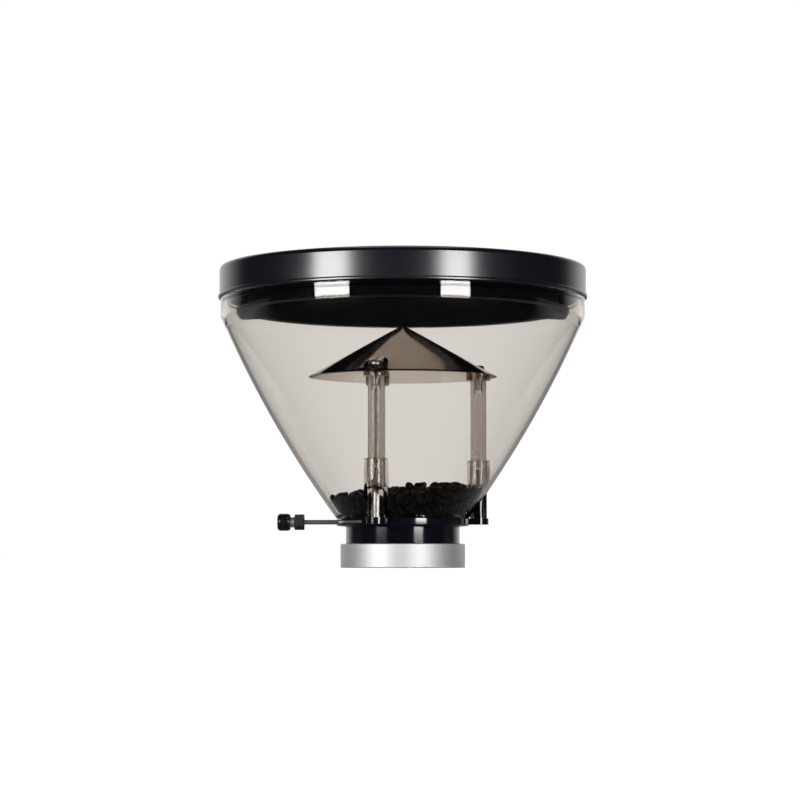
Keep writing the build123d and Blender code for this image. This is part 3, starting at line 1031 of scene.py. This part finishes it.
class BEANHOPPER_OT_housing(bpy.types.Operator):
    """Build the black gate housing with its neck, flange, ears and slot"""

    bl_idname = "bean_hopper.housing"
    bl_label = "Gate Housing"

    def execute(self, context):
        sizes, style = settings(context)
        low, high = span("gate_housing")
        _, collar_high = span("throat_collar")
        shell_low, _ = span("hopper_shell")
        plate_low, plate_high = span("gate_plate")
        rod_low, rod_high = span("gate_rod")
        seat_r, seat_z = sizes.seat_radius, shell_low.z
        throat_r, neck_r = sizes.throat_radius, sizes.neck_radius
        spigot_r = throat_r + SPIGOT_WALL
        neck_foot, neck_top = collar_high.z, collar_high.z + sizes.neck_height
        upstand_r = seat_r - UPSTAND_INSET
        slot_low, slot_high = plate_low.z - sizes.slot_gap, plate_high.z + sizes.slot_gap
        body = lathe(
            [
                (throat_r, low.z, EDGE),
                (spigot_r, low.z, EDGE),
                (spigot_r, neck_foot),
                (neck_r, neck_foot, HAIR_EDGE),
                (neck_r, neck_top, HAIR_EDGE),
                (seat_r, seat_z - sizes.flange_thickness, SOFT_EDGE),
                (seat_r, seat_z, FINE_EDGE),
                (upstand_r, seat_z),
                (upstand_r, high.z, HAIR_EDGE),
                (upstand_r - UPSTAND_LIP, high.z, HAIR_EDGE),
                (throat_r, slot_high + FUNNEL_LAND, HAIR_EDGE),
            ],
            closed=True,
        )
        ear_z = seat_z - sizes.ear_thickness
        spots = post_spots()
        for spot in spots:
            ear = rod(sizes.ear_radius, ear_z, seat_z)
            draw_out(ear, EAR_TAIL)
            turn = Matrix.Rotation(math.atan2(spot.y, spot.x), 4, "Z")
            bmesh.ops.transform(ear, matrix=Matrix.Translation(spot) @ turn, verts=ear.verts)
            body = combine(body, ear, "UNION")
        sink = lathe(
            [
                (0, ear_z - OVERLAP),
                (SINK_RADIUS, ear_z - OVERLAP),
                (SINK_RADIUS, ear_z),
                (sizes.screw_hole, ear_z + SINK_DEPTH),
                (sizes.screw_hole, seat_z + OVERLAP),
                (0, seat_z + OVERLAP),
            ],
            SMALL_STEPS,
        )
        slot = rod((plate_high.y - plate_low.y) / 2 + SLIDE_GAP, slot_low, slot_high)
        draw_out(slot, SLOT_MOUTH)
        channel = rod((rod_high.y - rod_low.y) / 2 + SLIDE_GAP, *CHANNEL_REACH)
        lay_down(channel, 0, (rod_low.z + rod_high.z) / 2)
        for tool in (repeat(sink, spots), slot, channel):
            body = combine(body, tool, "DIFFERENCE")
        finish = black_plastic(style, "housing_plastic", low=0.06, high=0.13)
        place_piece(
            body, "gate_housing_body", "hopper", ["gate_housing"], [finish]
        )
        return {"FINISHED"}


class BEANHOPPER_OT_collar(bpy.types.Operator):
    """Build the polished collar that drops into the grinder"""

    bl_idname = "bean_hopper.collar"
    bl_label = "Polished Collar"

    def execute(self, context):
        sizes, style = settings(context)
        low, high = span("throat_collar")
        bore = sizes.throat_radius + SPIGOT_WALL + COLLAR_GAP
        ring = lathe(
            [
                (bore, low.z, HAIR_EDGE),
                (high.x, low.z, SOFT_EDGE),
                (high.x, high.z, SOFT_EDGE),
                (bore, high.z, HAIR_EDGE),
            ],
            closed=True,
        )
        finish = brushed_metal(
            "turned_collar", style.collar, COLLAR_STRETCH, low=0.54, high=0.64, strength=0.1
        )
        place_piece(ring, "turned_collar", "hopper", ["throat_collar"], [finish])
        return {"FINISHED"}


class BEANHOPPER_OT_gate(bpy.types.Operator):
    """Build the gate's knob and finish its plate, rod, nut and washer, and the screws"""

    bl_idname = "bean_hopper.gate"
    bl_label = "Slide Gate"

    def execute(self, context):
        _, style = settings(context)
        low, high = span("gate_knob")
        rod_low, rod_high = span("gate_rod")
        length, radius = high.x - low.x, (high.y - low.y) / 2
        bore, depth = (rod_high.y - rod_low.y) / 2, high.x - rod_low.x
        knob = lathe(
            [
                (0, depth),
                (bore, depth),
                (bore, 0),
                (radius - KNOB_FOOT, 0, FINE_EDGE),
                (radius, KNOB_CHAMFER, FINE_EDGE),
                (radius, length - KNOB_CHAMFER, KNOB_EDGE),
                (radius - KNOB_SHOULDER, length, FINE_EDGE),
                (radius - KNOB_BORDER, length - KNOB_DISH),
                (0, length - 2 * KNOB_DISH),
            ],
            KNOB_STEPS,
        )
        lay_down(knob, high.x, (low.z + high.z) / 2)
        black = black_plastic(style, "knob_plastic", low=0.22, high=0.36)
        place_piece(knob, "gate_knob_cap", "gate", ["gate_knob"], [black])

        for nodes, name, colour, stretch, smooth, rough, strength in (
            (PLATE_NODES, "brushed_plate", style.steel, PLATE_STRETCH, 0.24, 0.42, 0.12),
            (SCREW_NODES, "turned_screw", style.steel, SCREW_STRETCH, 0.34, 0.48, 0.06),
            (WASHER_NODES, "bright_washer", style.collar, WASHER_STRETCH, 0.3, 0.42, 0.06),
            (NUT_NODES, "blackened_nut", style.dark_steel, NUT_STRETCH, 0.3, 0.46, 0.1),
        ):
            metal = brushed_metal(name, colour, stretch, smooth, rough, strength)
            for node in nodes:
                dress_node(node, metal)
        return {"FINISHED"}


def settle_beans(sizes, count):
    """Lets beans sink into the closed throat, and gives their middles, long axes and the draws.

    A bean is three balls in a row. In each round the balls sink a little and are pushed out of each
    other, the wall, the post sockets and the gate.
    """
    chance = np.random.default_rng(BEAN_SEED)
    ball, reach = BALL_SHARE * sizes.bean_length, REACH_SHARE * sizes.bean_length
    margin = MARGIN_SHARE * sizes.bean_length
    floor = span("gate_plate")[1].z + margin
    post_keep = post_size()[0] + sizes.post_clearance + sizes.socket_wall + margin
    posts = np.array([spot.xy for spot in post_spots()])
    _, funnel = span("gate_housing")
    heights = np.linspace(funnel.z + WALL_START, funnel.z + WALL_END, WALL_LEVELS)
    levels = np.concatenate([[0.0, funnel.z - FUNNEL_DEPTH, funnel.z], heights])
    radii = np.concatenate(
        [
            [sizes.throat_radius, sizes.throat_radius, sizes.seat_radius - FUNNEL_INSET],
            [cone_radius(sizes, height, sizes.shell_wall) for height in heights],
        ]
    )
    tilt = math.radians(HEAP_TILT)
    sink = np.array([math.sin(tilt), 0.0, -math.cos(tilt)]) * SINK_STEP
    around = chance.uniform(0, math.tau, count)
    away = POUR_RADIUS * np.sqrt(chance.uniform(0, 1, count))
    level = floor + POUR_HEIGHT * chance.uniform(0, 1, count)
    middle = np.stack([away * np.cos(around), away * np.sin(around), level], axis=1)
    axis = chance.normal(size=(count, 3)) * (1.0, 1.0, LYING)
    axis /= np.linalg.norm(axis, axis=1, keepdims=True)
    row = np.array([-reach, 0.0, reach])
    pairs = np.array([(one, two) for one in range(3) for two in range(3)])
    near = (2 * (ball + reach)) ** 2
    total = 3 * count
    for step in range(SETTLE_ROUNDS):
        pull = sink * (1 - step / SETTLE_ROUNDS)
        balls = (middle[:, None, :] + axis[:, None, :] * row[None, :, None] + pull).reshape(-1, 3)
        square = (middle**2).sum(axis=1)
        between = square[:, None] + square[None, :] - 2 * middle @ middle.T
        first, second = np.nonzero(np.triu(between < near, 1))
        first = (3 * first[:, None] + pairs[None, :, 0]).ravel()
        second = (3 * second[:, None] + pairs[None, :, 1]).ravel()
        offset = balls[first] - balls[second]
        distance = np.linalg.norm(offset, axis=1) + TINY
        overlap = 2 * ball - distance
        hit = overlap > 0
        first, second = first[hit], second[hit]
        push = offset[hit] * (0.5 * overlap[hit] / distance[hit])[:, None]
        touching = np.bincount(first, minlength=total) + np.bincount(second, minlength=total)
        for side in range(3):
            moved = np.bincount(first, push[:, side], total)
            moved -= np.bincount(second, push[:, side], total)
            balls[:, side] += moved / np.sqrt(np.maximum(touching, 1))
        for _ in range(2):
            away = np.hypot(balls[:, 0], balls[:, 1]) + TINY
            wall = np.interp(balls[:, 2], levels, radii) - WALL_KEEP * margin
            beyond = np.maximum(away - wall, 0.0)
            balls[:, :2] -= balls[:, :2] / away[:, None] * (WALL_INWARDS * beyond)[:, None]
            balls[:, 2] += WALL_UPWARDS * beyond
            for post in posts:
                side = balls[:, :2] - post
                gap = np.hypot(side[:, 0], side[:, 1]) + TINY
                balls[:, :2] += side / gap[:, None] * np.maximum(post_keep - gap, 0.0)[:, None]
            balls[:, 2] = np.maximum(balls[:, 2], floor)
        triple = balls.reshape(count, 3, 3)
        middle = triple.mean(axis=1)
        axis = triple[:, 2] - triple[:, 0]
        axis /= np.linalg.norm(axis, axis=1, keepdims=True)
    return middle, axis, chance


def one_bean(length):
    """A low bean along X: round back, flat face below, and a crease along the face."""
    bm = bmesh.new()
    bmesh.ops.create_uvsphere(bm, u_segments=10, v_segments=6, radius=0.5)
    lay = Matrix.Rotation(math.pi / 2, 3, "Y")
    bmesh.ops.rotate(bm, cent=(0, 0, 0), matrix=lay, verts=bm.verts)
    bmesh.ops.scale(bm, vec=(length, BEAN_WIDTH * length, BEAN_DEPTH * length), verts=bm.verts)
    belly = [vert for vert in bm.verts if vert.co.z < 0]
    bmesh.ops.scale(bm, vec=(1, 1, BELLY_DEPTH), verts=belly)
    half_width, half_length = CREASE_WIDTH * length, CREASE_LENGTH * length
    crease = [v for v in belly if abs(v.co.y) < half_width and abs(v.co.x) < half_length]
    bmesh.ops.translate(bm, vec=(0, 0, CREASE_DEPTH * length), verts=crease)
    return bm


class BEANHOPPER_OT_beans(bpy.types.Operator):
    """Heap roasted beans on the closed gate"""

    bl_idname = "bean_hopper.beans"
    bl_label = "Roasted Beans"

    def execute(self, context):
        sizes, style = settings(context)
        middles, axes, chance = settle_beans(sizes, sizes.bean_count)
        single = bpy.data.meshes.new("bean")
        shape = one_bean(sizes.bean_length)
        shape.to_mesh(single)
        shape.free()
        heap = bmesh.new()
        roast = heap.verts.layers.float.new("roast")
        for middle, axis in zip(middles, axes):
            first = len(heap.verts)
            heap.from_mesh(single)
            heap.verts.ensure_lookup_table()
            added = heap.verts[first:]
            turn = Vector(axis).to_track_quat("X", "Z").to_matrix().to_4x4()
            roll = Matrix.Rotation(chance.uniform(0, math.tau), 4, "X")
            size = Matrix.Scale(chance.uniform(*BEAN_SIZES), 4)
            place = Matrix.Translation(middle) @ turn @ roll @ size
            bmesh.ops.transform(heap, matrix=place, verts=added)
            tone = chance.uniform(0, ROAST_SPREAD)
            for vert in added:
                vert[roast] = tone
        bpy.data.meshes.remove(single)
        place_piece(
            heap,
            "roasted_bean_heap",
            "hopper",
            ["roasted_beans"],
            [roasted_skin(style)],
            crease=180.0,
        )
        return {"FINISHED"}


def add_lamp(name, place, target, width, height, radiance):
    """An even rectangular lamp of a given brightness, hidden from the camera."""
    light = bpy.data.lights.new(name, "AREA")
    light.shape = "RECTANGLE"
    light.size, light.size_y = width, height
    light.energy = math.pi * radiance * width * height
    lamp = bpy.data.objects.new(name, light)
    bpy.context.scene.collection.objects.link(lamp)
    lamp.location = place
    lamp.rotation_euler = (Vector(target) - Vector(place)).to_track_quat("-Z", "Y").to_euler()
    lamp.visible_camera = False


def after_bounce(tree, kind):
    """A node with 1 for rays that have met a surface of that kind on their way from the camera."""
    bounced = add_math(tree, "GREATER_THAN", 0.5)
    wire(tree, (add_node(tree, "ShaderNodeLightPath"), f"{kind} Depth", bounced, 0))
    return bounced


def make_floor():
    """A pale floor with soft shadows, which is dark in front where the object mirrors it."""
    bm = bmesh.new()
    bmesh.ops.create_grid(bm, x_segments=1, y_segments=1, size=FLOOR_REACH)
    floor = as_object(bm, "floor")
    finish, tree, shader, way = new_finish("pale_floor")
    tree.nodes.remove(shader)
    parts = add_node(tree, "ShaderNodeSeparateXYZ")
    grey = add_node(tree, "ShaderNodeMapRange", From_Min=-0.05, From_Max=0.15)
    set_node(grey, To_Min=0.05, To_Max=0.6)
    tone = add_node(tree, "ShaderNodeMix", data_type="FLOAT", A=FLOOR_BOUNCE)
    plain = add_node(tree, "ShaderNodeBsdfDiffuse")
    shaded = add_node(tree, "ShaderNodeBsdfDiffuse", Color=toned(FLOOR_GREY))
    glow = add_node(tree, "ShaderNodeEmission", Color=toned(FLOOR_GLOW))
    lit = add_node(tree, "ShaderNodeAddShader")
    mirrored = after_bounce(tree, "Glossy")
    reflected = add_math(tree, "MAXIMUM")
    pick = add_node(tree, "ShaderNodeMixShader")
    wire(
        tree,
        (way, "Object", parts, "Vector"),
        (parts, "Y", grey, "Value"),
        (mirrored, "Value", tone, "Factor"),
        (grey, "Result", tone, "B"),
        (tone, "Result", plain, "Color"),
        (after_bounce(tree, "Diffuse"), "Value", reflected, 0),
        (mirrored, "Value", reflected, 1),
        (shaded, "BSDF", lit, 0),
        (glow, "Emission", lit, 1),
        (reflected, "Value", pick, "Fac"),
        (lit, "Shader", pick, 1),
        (plain, "BSDF", pick, 2),
        (pick, "Shader", tree.nodes["Material Output"], "Surface"),
    )
    floor.data.materials.append(finish)


def make_world(scene):
    """A white background, with a dark room in front of the object where it is mirrored."""
    world = bpy.data.worlds.new("studio")
    scene.world = world
    world.use_nodes = True
    tree = world.node_tree
    sky = tree.nodes["Background"]
    set_node(sky, Color=WHITE)
    way, parts = add_node(tree, "ShaderNodeTexCoord"), add_node(tree, "ShaderNodeSeparateXYZ")
    room = add_node(tree, "ShaderNodeMapRange", From_Min=0.5, From_Max=0.8, To_Min=0.02, To_Max=1.0)
    mirrored = add_node(tree, "ShaderNodeMix", data_type="FLOAT", A=1.0)
    total = add_node(tree, "ShaderNodeMix", data_type="FLOAT", B=ROOM_BOUNCE)
    wire(
        tree,
        (way, "Generated", parts, "Vector"),
        (parts, "Y", room, "Value"),
        (after_bounce(tree, "Glossy"), "Value", mirrored, "Factor"),
        (room, "Result", mirrored, "B"),
        (after_bounce(tree, "Diffuse"), "Value", total, "Factor"),
        (mirrored, "Result", total, "A"),
        (total, "Result", sky, "Strength"),
    )


class BEANHOPPER_OT_stage(bpy.types.Operator):
    """Set up the pale floor, the soft lamps, the white background and the camera"""

    bl_idname = "bean_hopper.stage"
    bl_label = "Stage"

    def execute(self, context):
        scene = context.scene
        make_floor()
        make_world(scene)
        for name, degrees, width, foot in SIDE_LAMPS:
            angle, height = math.radians(degrees), SIDE_LAMP_HEAD - foot
            level = foot + height / 2
            place = (SIDE_LAMP_AWAY * math.sin(angle), -SIDE_LAMP_AWAY * math.cos(angle), level)
            add_lamp(name, place, (0, 0, level), width, height, SIDE_RADIANCE)
        above = VIEW_MIDDLE + TOP_LAMP_PLACE
        add_lamp("top_lamp", above, VIEW_MIDDLE, TOP_LAMP_SIDE, TOP_LAMP_SIDE, TOP_RADIANCE)
        camera = bpy.data.objects.new("camera", bpy.data.cameras.new("camera"))
        scene.collection.objects.link(camera)
        camera.data.lens, camera.data.sensor_width = CAMERA_LENS, CAMERA_SENSOR
        camera.location = (VIEW_MIDDLE.x, -CAMERA_AWAY, CAMERA_HEIGHT)
        aim = VIEW_MIDDLE - camera.location
        camera.rotation_euler = aim.to_track_quat("-Z", "Y").to_euler()
        camera.data.clip_start, camera.data.clip_end = CAMERA_CLIP
        scene.camera = camera
        scene.view_settings.view_transform = "Standard"
        scene.cycles.max_bounces = CLEAR_BOUNCES
        scene.cycles.transmission_bounces = CLEAR_BOUNCES
        scene.cycles.glossy_bounces = GLOSSY_BOUNCES
        return {"FINISHED"}


class BEANHOPPER_PT_panel(bpy.types.Panel):
    """Lists the pieces of the hopper with their sizes and colours"""

    bl_idname = "BEANHOPPER_PT_panel"
    bl_label = "Bean Hopper"
    bl_space_type = "VIEW_3D"
    bl_region_type = "UI"
    bl_category = "Bean Hopper"

    def draw(self, context):
        for operator in OPERATORS:
            self.layout.operator(operator.bl_idname)
        for group in settings(context):
            box = self.layout.box()
            for name in group.__annotations__:
                box.prop(group, name)


OPERATORS = (
    BEANHOPPER_OT_shell,
    BEANHOPPER_OT_lid,
    BEANHOPPER_OT_guard,
    BEANHOPPER_OT_housing,
    BEANHOPPER_OT_collar,
    BEANHOPPER_OT_gate,
    BEANHOPPER_OT_beans,
    BEANHOPPER_OT_stage,
)
CLASSES = (HopperSizes, HopperFinish, *OPERATORS, BEANHOPPER_PT_panel)


def register():
    for item in CLASSES:
        bpy.utils.register_class(item)
    bpy.types.Scene.bean_hopper_sizes = PointerProperty(type=HopperSizes)
    bpy.types.Scene.bean_hopper_finish = PointerProperty(type=HopperFinish)


def unregister():
    del bpy.types.Scene.bean_hopper_finish
    del bpy.types.Scene.bean_hopper_sizes
    for item in reversed(CLASSES):
        bpy.utils.unregister_class(item)


def main():
    register()
    bpy.ops.bean_hopper.shell()
    bpy.ops.bean_hopper.lid()
    bpy.ops.bean_hopper.guard()
    bpy.ops.bean_hopper.housing()
    bpy.ops.bean_hopper.collar()
    bpy.ops.bean_hopper.gate()
    bpy.ops.bean_hopper.beans()
    bpy.ops.bean_hopper.stage()


if __name__ == "__main__":
    main()
